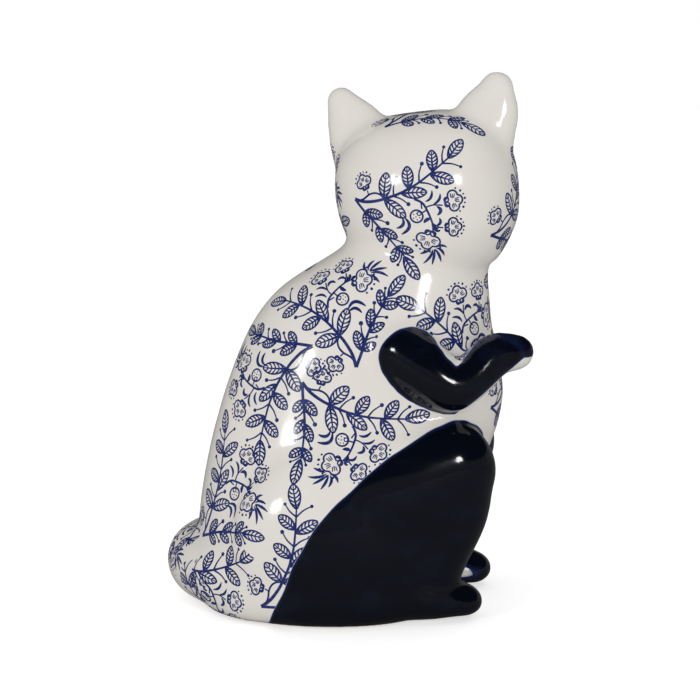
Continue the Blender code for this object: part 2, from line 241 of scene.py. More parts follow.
def lumps():
    out = [bodyStack(body["rings"])]
    cx, cf, cz = hindLeg["haunchCentre"]
    for side in (-1, 1):
        shin, foot = legRows(side)
        out.append(egg((side * cx, cf, cz), hindLeg["haunchRadii"], side * hindLeg["haunchTurn"]))
        out.append(limb(mirrored(hindLeg["knee"], side), (0, 0.2, 1)))
        out.append(limb(shin, (0, 1, 0.2)))
        out.append(limb(foot, (0, 0, 1)))
    out.append(limb(foreleg["right"], (0, 0.3, 1)))
    out.append(limb(foreleg["left"], (0, 0.3, 1)))
    out.append(limb(tail["rows"], (0, 0, 1), 70))
    out.append(onNeck(skullStack(head["skull"])))
    for ear in ("rightEar", "leftEar"):
        out.append(onNeck(limb(head[ear], (0, 1, 0))))
    for side in (-1, 1):
        for centre, radii in (head["cheek"], head["whiskerPad"]):
            out.append(onNeck(egg((side * centre[0],) + centre[1:], radii)))
    for centre, radii in (head["muzzle"], head["chin"]):
        out.append(onNeck(egg(centre, radii)))
    out.append(onNeck(limb(head["bridge"], (0, 1, 0.5))))
    return out


def clayArrays():
    # melts the lumps into one skin and hands it back as plain arrays in shape millimetres
    points, faces, start = [], [], 0
    for p, f in lumps():
        points.append(p * (0.001, -0.001, 0.001))
        faces += [tuple(start + i for i in reversed(q)) for q in f]
        start += len(p)
    mesh = bpy.data.meshes.new("clayLumps")
    mesh.from_pydata(np.concatenate(points).tolist(), [], faces)
    lump = bpy.data.objects.new("clayLumps", mesh)
    bpy.context.scene.collection.objects.link(lump)
    melt = lump.modifiers.new("melt", "REMESH")
    melt.mode = "VOXEL"
    melt.voxel_size = clay["voxel"] * 0.001
    soften = lump.modifiers.new("soften", "SMOOTH")
    soften.factor = 0.5
    soften.iterations = clay["rounds"]
    made = lump.evaluated_get(bpy.context.evaluated_depsgraph_get()).to_mesh()
    co = np.empty(len(made.vertices) * 3)
    made.vertices.foreach_get("co", co)
    made.calc_loop_triangles()
    tris = np.empty(len(made.loop_triangles) * 3, int)
    made.loop_triangles.foreach_get("vertices", tris)
    bpy.data.objects.remove(lump)
    return co.reshape(-1, 3) * (1000, -1000, 1000), tris.reshape(-1, 3)


def vertexNormals(co, tris, rounds=2):
    # co is in shape millimetres, whose handedness is turned, so the cross product is negated
    face = -np.cross(co[tris[:, 1]] - co[tris[:, 0]], co[tris[:, 2]] - co[tris[:, 0]])
    total = np.zeros_like(co)
    for k in range(3):
        np.add.at(total, tris[:, k], face)
    total /= np.linalg.norm(total, axis=1)[:, None] + 1e-12
    edges = np.concatenate([tris[:, (0, 1)], tris[:, (1, 2)], tris[:, (2, 0)]])
    for _ in range(rounds):
        near = total.copy()
        np.add.at(near, edges[:, 0], total[edges[:, 1]])
        np.add.at(near, edges[:, 1], total[edges[:, 0]])
        total = near / (np.linalg.norm(near, axis=1)[:, None] + 1e-12)
    return total


def chainDistance(points, rows, margin):
    p = spline(rows, 5 * len(rows))
    best = np.full(len(points), 1e9)
    for a, b in zip(p[:-1], p[1:]):
        ab = b[:3] - a[:3]
        t = np.clip((points - a[:3]) @ ab / (ab @ ab), 0, 1)
        away = np.linalg.norm(points - a[:3] - t[:, None] * ab, axis=1)
        ra, rb = (a[3] + a[4]) / 2, (b[3] + b[4]) / 2
        best = np.minimum(best, away - ra - t * (rb - ra))
    return best - margin


def outlineDistance(points, outline):
    # signed distance in the side view, negative inside
    edge = spline(outline, 5 * len(outline))
    f, z = points[:, 1], points[:, 2]
    best = np.full(len(points), 1e9)
    inside = np.zeros(len(points), bool)
    for (f0, z0), (f1, z1) in zip(edge, np.roll(edge, -1, 0)):
        df, dz = f1 - f0, z1 - z0
        t = np.clip(((f - f0) * df + (z - z0) * dz) / (df * df + dz * dz + 1e-9), 0, 1)
        best = np.minimum(best, np.hypot(f - f0 - t * df, z - z0 - t * dz))
        crosses = (z0 > z) != (z1 > z)
        inside ^= crosses & (f < f0 + (z - z0) / (dz if abs(dz) > 1e-9 else 1e-9) * df)
    return np.where(inside, -best, best)


def borderWave(points):
    # a hand-held brush never follows its line exactly
    x, f, z = points.T
    return clay["borderWave"] * (np.sin(0.31 * f + 0.17 * z + 1.0) + np.sin(0.23 * z - 0.41 * x + 2.2)
                                 + 0.6 * np.sin(0.83 * f - 0.57 * z + 0.4)) / 1.6


def roundedMax(a, b, width):
    # the greater of two fields, with the corner between them rounded off
    corner = np.maximum(width - np.abs(a - b), 0) / width
    return np.maximum(a, b) + corner**2 * width / 4


def cobaltDistance(points):
    # millimetres to the cobalt's edge, negative where the cobalt is
    palmF, palmZ, palmSlope = foreleg["palmDrop"]
    slope = math.radians(palmSlope)
    fades, gone = foreleg["dropFades"]
    beside = np.clip((gone - points[:, 1]) / (gone - fades), 0, 1)
    arms = []
    for name in ("right", "left"):
        under = (points[:, 1] - palmF) * math.sin(slope) - (points[:, 2] - palmZ) * math.cos(slope)
        if name == "left":
            under -= foreleg["leftPalmLower"]
        under = np.minimum(under, foreleg["palmTop"][name] - points[:, 2])
        lowered = points.copy()
        lowered[:, 2] += foreleg["paintDrop"] * beside * np.clip((points[:, 2] - 96) / 30, 0, 1)
        lowered[:, 0] = np.clip(lowered[:, 0], -foreleg["flank"], foreleg["flank"])
        x, forward, *rest = foreleg[name][0]
        painted = [(x, forward + foreleg["paintStart"], *rest)] + foreleg[name][1:]
        arms.append(np.maximum(chainDistance(lowered, painted, foreleg["paintMargin"]), under))
    inner = hindLeg["paintInner"] + hindLeg["paintWaist"] * np.exp(-((points[:, 2] - 52) / 24) ** 2)
    haunch = outlineDistance(points, hindLeg["outline"])
    haunch = roundedMax(haunch, inner - np.abs(points[:, 0]), hindLeg["paintCorner"])
    haunch = np.maximum(haunch, -chainDistance(points, tail["rows"], tail["margin"] + 0.2))
    return np.minimum(np.minimum(arms[0], arms[1]), haunch) + borderWave(points)


def hollowEars(co, normals):
    # presses a shallow dish into the front of each ear
    axes = headAxes()
    local = (co - np.array(head["centre"])) @ axes.T
    facing = normals @ axes.T
    for ear in ("rightEar", "leftEar"):
        a, b = np.array(head[ear][0][:3], float), np.array(head[ear][-1][:3], float)
        a[2] += 6
        along = (b - a)[[0, 2]]
        length = np.linalg.norm(along)
        along /= length
        across = np.array([-along[1], along[0]])
        rel = local[:, [0, 2]] - a[[0, 2]]
        s, w = rel @ along / length, rel @ across
        width = 12.5 * (1.0 - 0.72 * np.clip(s, 0, 1))
        shape = np.clip(1 - (w / width) ** 2, 0, 1)
        shape *= np.clip(np.minimum(s / 0.3, (1.02 - s) / 0.25), 0, 1)
        front = np.clip((facing[:, 1] - 0.05) / 0.5, 0, 1)
        local[:, 1] -= head["earHollow"] * shape**1.2 * front
    return local @ axes + np.array(head["centre"])


def splitAlong(data, tris, column):
    # cuts every triangle on the zero line of one column, so each lies wholly on one side
    value = data[:, column].copy()
    value[np.abs(value) < 0.05] = 0.0
    data = data.copy()
    data[:, column] = value
    sign = np.sign(value).astype(int)
    s = sign[tris]
    crossing = (s.min(1) < 0) & (s.max(1) > 0)
    keep = tris[~crossing]
    work = tris[crossing]
    if not len(work):
        return data, tris
    edges = np.concatenate([work[:, (0, 1)], work[:, (1, 2)], work[:, (2, 0)]])
    edges.sort(axis=1)
    edges = edges[sign[edges[:, 0]] * sign[edges[:, 1]] < 0]
    edges = np.unique(edges, axis=0)
    t = value[edges[:, 0]] / (value[edges[:, 0]] - value[edges[:, 1]])
    fresh = data[edges[:, 0]] * (1 - t)[:, None] + data[edges[:, 1]] * t[:, None]
    fresh[:, column] = 0.0
    index = {(a, b): len(data) + k for k, (a, b) in enumerate(edges.tolist())}
    data = np.concatenate([data, fresh])
    made = []
    for tri in work.tolist():
        for k in range(3):      # turn the triangle until its first corner stands alone on its side
            a, b, c = tri[k], tri[(k + 1) % 3], tri[(k + 2) % 3]
            if sign[a] and sign[b] != sign[a] and sign[c] != sign[a]:
                break
        ab = index.get((min(a, b), max(a, b)))
        ac = index.get((min(a, c), max(a, c)))
        if ab is not None and ac is not None:
            made += [(a, ab, ac), (ab, b, c), (ab, c, ac)]
        elif ab is not None:
            made += [(a, ab, c), (ab, b, c)]
        else:
            made += [(a, b, ac), (ac, b, c)]
    return data, np.concatenate([keep, np.array(made, int)])


def toWorld(points):
    shift = (-footprint["x"], -footprint["forward"], footprint["lift"])
    return (np.asarray(points, float) + shift) * (0.001, -0.001, 0.001)


def pieceFrom(name, data, tris, materials, slots=None, edge=12):
    used, local = np.unique(tris, return_inverse=True)
    local = local.reshape(-1, 3)
    rows = data[used]
    mesh = bpy.data.meshes.new(name)
    mesh.from_pydata(toWorld(rows[:, :3]).tolist(), [], local.tolist())
    mesh.polygons.foreach_set("use_smooth", np.ones(len(local), bool))
    away = mesh.attributes.new("paintEdge", "FLOAT", "POINT")
    away.data.foreach_set("value", np.clip(rows[:, edge], -12, 12))
    for material in materials:
        mesh.materials.append(material)
    if slots is not None:
        mesh.polygons.foreach_set("material_index", slots)
    normals = rows[:, 3:6] * (1, -1, 1)
    normals /= np.linalg.norm(normals, axis=1)[:, None] + 1e-12
    mesh.normals_split_custom_set_from_vertices(normals.tolist())
    piece = bpy.data.objects.new(name, mesh)
    bpy.context.scene.collection.objects.link(piece)
    return piece


# colours are linear red, green and blue; a skin is its wave size, roughness and pinholes
glazes = {
    "white": (0.825, 0.793, 0.742), "whiteWarm": (0.785, 0.745, 0.685), "whiteBleed": (0.33, 0.38, 0.55),
    "whiteSkin": (38.0, 0.1, 0.6), "bleedWidth": 0.45,
    "cobalt": (0.0016, 0.0026, 0.0066), "cobaltStreak": (0.003, 0.005, 0.0135),
    "cobaltThin": (0.008, 0.015, 0.06), "cobaltSkin": (30.0, 0.075, 1.0), "thinWidth": 1.6,
    "bare": (0.62, 0.55, 0.47), "bareStain": (0.5, 0.42, 0.34),
    "ink": (0.013, 0.024, 0.125), "inkPale": (0.04, 0.062, 0.24), "inkSkin": (38.0, 0.1, 0.0),
    "wash": (0.12, 0.2, 0.5), "washPale": (0.2, 0.3, 0.62),
    "felt": (0.10, 0.10, 0.105), "feltPale": (0.22, 0.22, 0.23),
    "ior": 1.5, "waveDepth": 0.0006, "grainDepth": 0.0004,
}


def addNode(tree, kind, place, feed=(), **values):
    # values are properties or inputs of the node, feed holds its (input, socket) pairs
    node = tree.nodes.new(kind)
    node.location = place
    for key, value in values.items():
        if key in node.inputs.keys():
            node.inputs[key].default_value = value
        else:
            setattr(node, key, value)
    for key, socket in feed:
        tree.links.new(socket, node.inputs[key])
    return node


def maths(tree, place, operation, *parts):
    # each part is a number or a socket
    node = addNode(tree, "ShaderNodeMath", place, operation=operation)
    for k, part in enumerate(parts):
        if isinstance(part, float):
            node.inputs[k].default_value = part
        else:
            tree.links.new(part, node.inputs[k])
    return node.outputs[0]


def remap(tree, place, value, low, high, start=0.0, end=1.0, ease="LINEAR"):
    node = addNode(tree, "ShaderNodeMapRange", place, [("Value", value)], interpolation_type=ease,
                   **{"From Min": low, "To Min": start, "To Max": end})
    if isinstance(high, float):
        node.inputs["From Max"].default_value = high
    else:
        tree.links.new(high, node.inputs["From Max"])
    return node.outputs[0]


def noise(tree, place, vector, **values):
    return addNode(tree, "ShaderNodeTexNoise", place, [("Vector", vector)], **values).outputs[0]


def mixColour(tree, place, first, second, share):
    # each colour is a triple or a socket
    node = addNode(tree, "ShaderNodeMix", place, data_type="RGBA")
    for index, colour in ((6, first), (7, second)):
        if isinstance(colour, tuple):
            node.inputs[index].default_value = (*colour, 1.0)
        else:
            tree.links.new(colour, node.inputs[index])
    tree.links.new(share, node.inputs[0])
    return node.outputs[2]


def objectCoords(tree, place):
    return addNode(tree, "ShaderNodeTexCoord", place).outputs["Object"]


def newGroup(name, inputs, outputs):
    tree = bpy.data.node_groups.new(name, "ShaderNodeTree")
    for label, value in inputs:
        socket = tree.interface.new_socket(label, in_out="INPUT", socket_type="NodeSocketFloat")
        socket.default_value = value
    for label in outputs:
        tree.interface.new_socket(label, in_out="OUTPUT", socket_type="NodeSocketFloat")
    return tree, tree.nodes.new("NodeGroupInput"), tree.nodes.new("NodeGroupOutput")


def glazeSkinGroup():
    # slow waves of a poured glaze, fine orange peel and a few pinholes
    tree, given, out = newGroup("glazeSkin", [
        ("Wave Size", 40.0), ("Peel Size", 420.0), ("Base Roughness", 0.05), ("Pinholes", 1.0),
    ], ["Height", "Roughness", "Cloud"])
    coords = objectCoords(tree, (-900, 0))
    wave = noise(tree, (-650, 200), coords, Detail=2.0, Roughness=0.45)
    peel = noise(tree, (-650, -50), coords, Detail=1.0, Roughness=0.5)
    for texture, size in ((wave, "Wave Size"), (peel, "Peel Size")):
        tree.links.new(given.outputs[size], texture.node.inputs["Scale"])
    pits = addNode(tree, "ShaderNodeTexVoronoi", (-650, -300), [("Vector", coords)], Scale=55.0)
    pit = remap(tree, (-430, -300), pits.outputs["Distance"], 0.006, 0.02, 1.0, 0.0)
    pitAmount = maths(tree, (-230, -300), "MULTIPLY", pit, given.outputs["Pinholes"])
    peelPart = maths(tree, (-430, -50), "MULTIPLY", peel, 0.035)
    waves = maths(tree, (-200, 60), "ADD", wave, peelPart)
    height = maths(tree, (0, 60), "MULTIPLY_ADD", pitAmount, -0.12, waves)
    rough = maths(tree, (0, -120), "MULTIPLY_ADD", wave, 0.05, given.outputs["Base Roughness"])
    for label, socket in (("Height", height), ("Roughness", rough), ("Cloud", wave)):
        tree.links.new(socket, out.inputs[label])
    return tree


def borderGroup():
    # how near the painted edge is: 1 on the edge, falling to 0 over the given millimetres
    tree, given, out = newGroup("paintBorder", [("Width", 1.0)], ["Near"])
    edge = addNode(tree, "ShaderNodeAttribute", (-600, 0), attribute_name="paintEdge")
    away = maths(tree, (-400, 0), "ABSOLUTE", edge.outputs["Fac"])
    near = remap(tree, (-200, 0), away, 0.0, given.outputs["Width"], 1.0, 0.0, "SMOOTHSTEP")
    tree.links.new(near, out.inputs["Near"])
    return tree


def newMaterial(name):
    material = bpy.data.materials.new(name)
    material.use_nodes = True
    shader = material.node_tree.nodes["Principled BSDF"]
    shader.location = (300, 0)
    return material, material.node_tree, shader


def placeGroup(tree, group, place, **values):
    node = tree.nodes.new("ShaderNodeGroup")
    node.node_tree = group
    node.location = place
    for key, value in values.items():
        node.inputs[key].default_value = value
    return node


def bumpFrom(tree, shader, socket, strength, distance):
    bump = addNode(tree, "ShaderNodeBump", (80, -260), [("Height", socket)],
                   Strength=strength, Distance=distance)
    tree.links.new(bump.outputs["Normal"], shader.inputs["Normal"])


def glossy(name, skinValues, bump):
    # a clear glossy glaze; hands back the height waves' cloud for the colour
    material, tree, shader = newMaterial(name)
    waveSize, roughness, pinholes = skinValues
    surface = placeGroup(tree, glazeSkin, (-500, 0),
                         **{"Wave Size": waveSize, "Base Roughness": roughness, "Pinholes": pinholes})
    tree.links.new(surface.outputs["Roughness"], shader.inputs["Roughness"])
    shader.inputs["IOR"].default_value = glazes["ior"]
    bumpFrom(tree, shader, surface.outputs["Height"], bump, glazes["waveDepth"])
    return material, tree, shader, surface.outputs["Cloud"]


def whiteGlaze():
    # warmer where it lies thick, blue where the cobalt bled into it
    material, tree, shader, cloud = glossy("whiteGlaze", glazes["whiteSkin"], 0.25)
    border = placeGroup(tree, paintBorder, (-500, 250), Width=glazes["bleedWidth"])
    share = remap(tree, (-250, 120), cloud, 0.35, 0.75, 0.0, 0.35)
    warm = mixColour(tree, (-50, 200), glazes["white"], glazes["whiteWarm"], share)
    bleed = mixColour(tree, (120, 260), warm, glazes["whiteBleed"], border.outputs["Near"])
    tree.links.new(bleed, shader.inputs["Base Color"])
    return material


def cobaltGlaze():
    # nearly black, with faint brush streaks and a bluer, thinner edge
    material, tree, shader, _ = glossy("cobaltGlaze", glazes["cobaltSkin"], 0.2)
    border = placeGroup(tree, paintBorder, (-500, 260), Width=glazes["thinWidth"])
    lie = addNode(tree, "ShaderNodeMapping", (-900, 500), [("Vector", objectCoords(tree, (-1100, 500)))],
                  Scale=(1.0, 0.35, 0.9), Rotation=(0.7, 0.0, 0.0))
    brush = noise(tree, (-700, 500), lie.outputs["Vector"], Scale=120.0, Detail=3.0, Roughness=0.55)
    streaks = remap(tree, (-500, 500), brush, 0.5, 0.72, ease="SMOOTHSTEP")
    deep = mixColour(tree, (-250, 420), glazes["cobalt"], glazes["cobaltStreak"], streaks)
    thin = mixColour(tree, (0, 320), deep, glazes["cobaltThin"], border.outputs["Near"])
    tree.links.new(thin, shader.inputs["Base Color"])
    return material


def tintedGlaze(name, strong, pale):
    # colour under the same clear glaze, a little uneven in tone
    material, tree, shader, _ = glossy(name, glazes["inkSkin"], 0.25)
    coords = objectCoords(tree, (-1000, 300))
    blot = noise(tree, (-800, 300), coords, Scale=330.0, Detail=2.0, Roughness=0.6)
    amount = remap(tree, (-600, 300), blot, 0.42, 0.78)
    tree.links.new(mixColour(tree, (-250, 200), strong, pale, amount), shader.inputs["Base Color"])
    return material


def bareClay():
    material, tree, shader = newMaterial("bareClay")
    coords = objectCoords(tree, (-900, 0))
    grain = noise(tree, (-700, 100), coords, Scale=900.0, Detail=4.0, Roughness=0.7)
    stain = noise(tree, (-700, -150), coords, Scale=45.0, Detail=3.0, Roughness=0.6)
    tone = mixColour(tree, (-300, 100), glazes["bare"], glazes["bareStain"], stain)
    tree.links.new(tone, shader.inputs["Base Color"])
    shader.inputs["Roughness"].default_value = 0.85
    bumpFrom(tree, shader, grain, 0.35, glazes["grainDepth"])
    return material


def felt():
    material, tree, shader = newMaterial("greyFelt")
    coords = objectCoords(tree, (-1000, 0))
    fibre = noise(tree, (-800, 100), coords, Scale=2600.0, Detail=5.0, Roughness=0.75)
    mat = noise(tree, (-800, -150), coords, Scale=420.0, Detail=3.0, Roughness=0.6)
    tone = mixColour(tree, (-300, 150), glazes["felt"], glazes["feltPale"], mat)
    tree.links.new(tone, shader.inputs["Base Color"])
    shader.inputs["Roughness"].default_value = 0.95
    shader.inputs["Sheen Weight"].default_value = 0.3
    bumpFrom(tree, shader, fibre, 0.6, glazes["grainDepth"])
    return material


glazeSkin = glazeSkinGroup()
paintBorder = borderGroup()
whiteMaterial, cobaltMaterial, bareMaterial = whiteGlaze(), cobaltGlaze(), bareClay()
inkMaterial = tintedGlaze("printedInk", glazes["ink"], glazes["inkPale"])
print("glazes mixed")

drain = {"forward": -18.0, "radius": 11.0, "upTo": 3.0, "bareRim": 0.3}

co, tris = clayArrays()
print("clay modelled:", len(tris), "triangles")
co = hollowEars(co, vertexNormals(co, tris, 0))
normals = vertexNormals(co, tris, 0)
border = cobaltDistance(co)
step = clay["borderStep"] * (0.5 - 0.5 * np.tanh(border / 0.9))      # the cobalt stands a little proud
co = co + normals * (step - clay["borderStep"] * 0.5)[:, None]
co[:, 2] = np.maximum(co[:, 2], 0)
normals = vertexNormals(co, tris, clay["normalRounds"])

slope = math.radians(head["neckSlope"])
neckNormal = np.array([0, -math.sin(slope), math.cos(slope)])
legFields = []
for side in (-1, 1):
    shin, foot = legRows(side)
    thigh = np.maximum(outlineDistance(co, hindLeg["outline"]), hindLeg["innerSide"] - side * co[:, 0])
    margin = hindLeg["margin"]
    lower = np.minimum(chainDistance(co, shin, margin), chainDistance(co, foot, margin))
    legFields.append(np.minimum(thigh, lower))
fields = [
    -(co - np.array(head["neckPoint"])) @ neckNormal,
    chainDistance(co, foreleg["right"], foreleg["margin"]),
    chainDistance(co, foreleg["left"], foreleg["margin"]),
    chainDistance(co, tail["rows"], tail["margin"]),
    legFields[0], legFields[1],
    cobaltDistance(co),
    drain["bareRim"] - co[:, 2],
    drain["radius"] - np.hypot(co[:, 0], co[:, 1] - drain["forward"]) - (co[:, 2] > drain["upTo"]) * 100,
]
(headColumn, armRightColumn, armLeftColumn, tailColumn, legRightColumn, legLeftColumn,
 paintColumn, bareColumn, drainColumn) = range(6, 15)

wholeSkin, wholeTris = np.concatenate([co, normals], 1), tris
data = np.concatenate([wholeSkin] + [f[:, None] for f in fields], 1)
for column in range(6, 15):
    data, tris = splitAlong(data, tris, column)
middle = data[tris].mean(1)
tris = tris[middle[:, drainColumn] < 0]
middle = data[tris].mean(1)

owner = np.zeros(len(tris), int)
# where two claim the same clay, the later one in this list has it
for label, column in ((6, legLeftColumn), (5, legRightColumn), (4, tailColumn),
                      (3, armLeftColumn), (2, armRightColumn), (1, headColumn)):
    owner[middle[:, column] < 0] = label
castings = {
    "torso": "torso_casting", "head": "head_casting", "rightForeleg": "right_foreleg_casting",
    "leftForeleg": "left_foreleg_casting", "tail": "tail_casting",
    "rightHindLeg": "right_hind_leg_casting", "leftHindLeg": "left_hind_leg_casting",
}
castingMaterials = [whiteMaterial, cobaltMaterial, bareMaterial]
for label, (name, node) in enumerate(castings.items()):
    mine = owner == label
    slots = np.where(middle[mine, bareColumn] > 0, 2, np.where(middle[mine, paintColumn] < 0, 1, 0))
    piece = pieceFrom(name + "Casting", data, tris[mine], castingMaterials, slots)
    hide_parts(node)
    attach(piece, "root")
    print(name, "casting:", int(mine.sum()), "faces")

sprig = {
    "stemWidth": 1.2, "outlineWidth": 0.85, "stalkWidth": 0.75, "veinWidth": 0.78, "veins": 5,
    "petalWidth": 0.95, "curlBolder": 1.3,
    "segment": 1.1, "lift": 0.05, "topOfTorso": 185.0, "offCobalt": 0.2, "offFoot": 1.2,
    # millimetres from the foot of the branch, x along it; leaves are (x, y, angle, length, width)
    "mainStem": [
        (0, 0), (6, -0.8), (12, -0.2), (18, 1.3), (27.5, 4.8), (36, 9.6), (43.6, 15.5), (52, 23),
    ],
    "mainLoop": [(3, -0.6), (6.1, 0.6), (9.5, 3.1), (13, 4.1), (16.2, 3.3), (18, 1.3)],
    "mainLeaves": [
        (18, 1.6, 85, 13, 7), (18.4, 1.1, -39, 14, 6.5), (31.3, 7, 97, 11, 6.2), (27.4, 4.4, 3, 13, 6),
        (43.6, 15.5, 97, 11, 6), (42.4, 14, -18, 12.5, 6.2), (51.3, 22.3, 55, 12.7, 6.8),
    ],
    "mainBerries": [
        (23.3, 2.9, 24.6, 12.3, 1.0), (23.3, 2.9, 31, -1, 1.1), (36.6, 9.9, 37.7, 19.4, 1.1),
        (36.6, 9.9, 45.5, 7.5, 1.0), (48.4, 19.5, 48.7, 28.3, 0.9), (48.4, 19.5, 57.8, 17.6, 0.9),
    ],
    "lowStem": [(0, 0), (6.1, -5.9), (11.5, -10.7), (16.8, -16), (22.2, -23), (27, -28.9)],
    "lowLeaves": [
        (7, -5.8, -8, 10, 5.3), (6.8, -6.3, -90, 7.9, 4.8), (15.6, -14.6, -25, 9.4, 5.2),
        (13.8, -13.2, -84, 8.7, 4.8), (23.4, -24, -16, 8.6, 4.4), (23.4, -24.3, -107, 8, 5),
        (26.9, -29.2, -60, 13.4, 6),
    ],
    "lowBerries": [
        (10.4, -9.6, 19.5, -11.1, 1.2), (10.4, -9.6, 9.9, -15.8, 0.9), (19.3, -19.3, 26.5, -21.4, 1.0),
        (19.3, -19.3, 17.2, -24.2, 0.9), (25.8, -27.3, 31.3, -29.4, 0.8), (25.8, -27.3, 23.8, -33.4, 0.8),
    ],
    "sideStem": [(34, 1.6), (38.2, -0.5), (40.9, -5.3), (42.8, -10.7), (43, -15)],
    "stalks": [
        [(9.1, 2.9), (8.4, 5.2)], [(39.9, -2.6), (43.5, -1.5), (48.3, -1.8)],
        [(43, -11), (46, -13), (48.2, -13.4)], [(40.3, -4.0), (38.9, -4.8), (38.0, -5.2)],
        [(37.4, 0.3), (37.8, -3.4)],
    ],
    "curls": [      # tapered strokes, and their greatest width
        ([(39.6, 0.3), (42.4, 2.2), (43, 5.9)], 1.1), ([(43.6, -1.1), (46.4, 0.9), (47.1, 4.2)], 1.1),
        ([(45.2, -2.3), (47.3, -4.3), (45.5, -6.8)], 1.4),
        ([(42.3, -8.6), (40.4, -8.8), (38.5, -10.6)], 1.5),
        ([(44.6, -12.2), (46.8, -10.8), (46.5, -8.2)], 1.2),
        ([(43, -12.8), (45.2, -15), (46.6, -14.4)], 1.2),
        ([(43.3, -11.8), (44.9, -13.6), (46.0, -13.0)], 0.9),
        ([(27.5, -8), (27.8, -11.5), (24.2, -13.6)], 1.3),
        ([(28.6, -7.8), (31, -12.5), (26.6, -16.8)], 1.4),
    ],
    "blossoms": [(6.2, 8.6, 120, 4.7), (53, 0.2, 10, 5.3), (52.6, -13.4, 0, 4.9), (40.5, -19, -110, 6.1)],
    "fruit": (35, -7.2, 3.2),
    "seeds": [(-0.45, 0.3), (-0.1, -0.1), (-0.5, -0.3), (0.1, -0.55), (0.5, -0.25), (0.05, 0.45)],
    "crest": [      # pointed leaves beyond the big blossom
        [(43.6, -24.3), (46.6, -23.3), (49.4, -24.7)], [(43.8, -24.8), (46.3, -26.1), (47.6, -29.6)],
        [(43.2, -25.2), (44.8, -28.6), (45.6, -33.2)], [(42.0, -25.4), (40.3, -29.6), (36.4, -33.0)],
        [(41.2, -25.4), (38.6, -26.6), (35.2, -27.8)], [(42.8, -25.4), (42.4, -29.0), (40.8, -34.2)],
    ],
}

flatMarks = []


def evenly(points, step=1.0):
    dense = spline(points, 10 * len(points)) if len(points) > 2 else np.array(points, float)
    gone = np.concatenate([[0], np.cumsum(np.linalg.norm(np.diff(dense, axis=0), axis=1))])
    at = np.linspace(0, gone[-1], max(2, int(math.ceil(gone[-1] / step)) + 1))
    return np.stack([np.interp(at, gone, dense[:, k]) for k in (0, 1)], 1)


def ribbon(line, half, closed=False):
    # a strip of the given half width along a line
    n = len(line)
    if closed:
        along = np.roll(line, -1, 0) - np.roll(line, 1, 0)
    else:
        along = np.gradient(line, axis=0)
    side = np.stack([-along[:, 1], along[:, 0]], 1)
    side /= np.linalg.norm(side, axis=1)[:, None] + 1e-12
    half = np.broadcast_to(half, n)[:, None]
    made = []
    for k in range(n if closed else n - 1):
        m = (k + 1) % n
        made += [(k, n + k, n + m), (k, n + m, m)]
    flatMarks.append((np.concatenate([line + side * half, line - side * half]), np.array(made)))


def brushLine(points, width, ends=(1.0, 1.0)):
    line = evenly(points, sprig["segment"])
    ribbon(line, width / 2 * np.linspace(ends[0], ends[1], len(line)))


def curl(points, width, power=0.7):
    # a tapered stroke; three points become one smooth arc through the middle one
    if len(points) == 3:
        a, b, c = np.array(points, float)
        t = np.linspace(0, 1, 9)[:, None]
        points = (1 - t) ** 2 * a + 2 * t * (1 - t) * (2 * b - (a + c) / 2) + t**2 * c
    line = evenly(points, 0.8)
    t = np.linspace(0.04, 0.96, len(line))
    ribbon(line, width / 2 * np.sin(math.pi * t) ** power)


def dot(x, y, radius, around=10):
    t = np.linspace(0, 2 * np.pi, around, endpoint=False)
    rim = np.stack([x + radius * np.cos(t), y + radius * np.sin(t)], 1)
    fan = [(around, k, (k + 1) % around) for k in range(around)]
    flatMarks.append((np.concatenate([rim, [[x, y]]]), np.array(fan)))


def ring(x, y, radius, width, around=16):
    t = np.linspace(0, 2 * np.pi, around, endpoint=False)
    ribbon(np.stack([x + radius * np.cos(t), y + radius * np.sin(t)], 1), width / 2, closed=True)


def placed(points, x, y, angle):
    c, s = math.cos(math.radians(angle)), math.sin(math.radians(angle))
    p = np.asarray(points, float)
    return np.stack([x + c * p[:, 0] - s * p[:, 1], y + s * p[:, 0] + c * p[:, 1]], 1)


def leafHalf(t, width):
    return width * 0.53 * np.sin(math.pi * np.clip(t, 0, 1) ** 1.1) ** 0.62


def leaf(x, y, angle, length, width):
    inset = sprig["outlineWidth"] / 2
    t = 0.5 - 0.5 * np.cos(np.linspace(0, math.pi, 14))
    top = np.stack([t * length, leafHalf(t, width) - inset * (t * (1 - t) * 4)], 1)
    low = top[-2:0:-1] * (1, -1)
    ribbon(placed(np.concatenate([top, low]), x, y, angle), sprig["outlineWidth"] / 2, closed=True)
    rib = placed([(0.3, 0), (length * 0.5, 0.12), (length * 0.98, 0)], x, y, angle)
    brushLine(rib, sprig["veinWidth"] * 1.25, (1.3, 0.5))
    count = sprig["veins"] if length > 9 else sprig["veins"] - 1
    for k in range(count):
        root = 0.1 + 0.66 * k / (count - 1)
        tip = root + 0.17
        for side in (-1, 1):
            out = (tip * length, side * leafHalf(tip, width) * 0.9)
            bend = ((root + 0.06) * length, side * leafHalf(root + 0.06, width) * 0.5)
            vein = placed([(root * length, 0), bend, out], x, y, angle)
            brushLine(vein, sprig["veinWidth"], (0.8, 1.25))


def berry(x0, y0, x1, y1, radius):
    dx, dy = x1 - x0, y1 - y0
    bend = (x0 + dx * 0.5 - dy * 0.07, y0 + dy * 0.5 + dx * 0.07)
    brushLine([(x0, y0), bend, (x1, y1)], sprig["stalkWidth"], (1.3, 0.8))
    dot(x1, y1, radius)


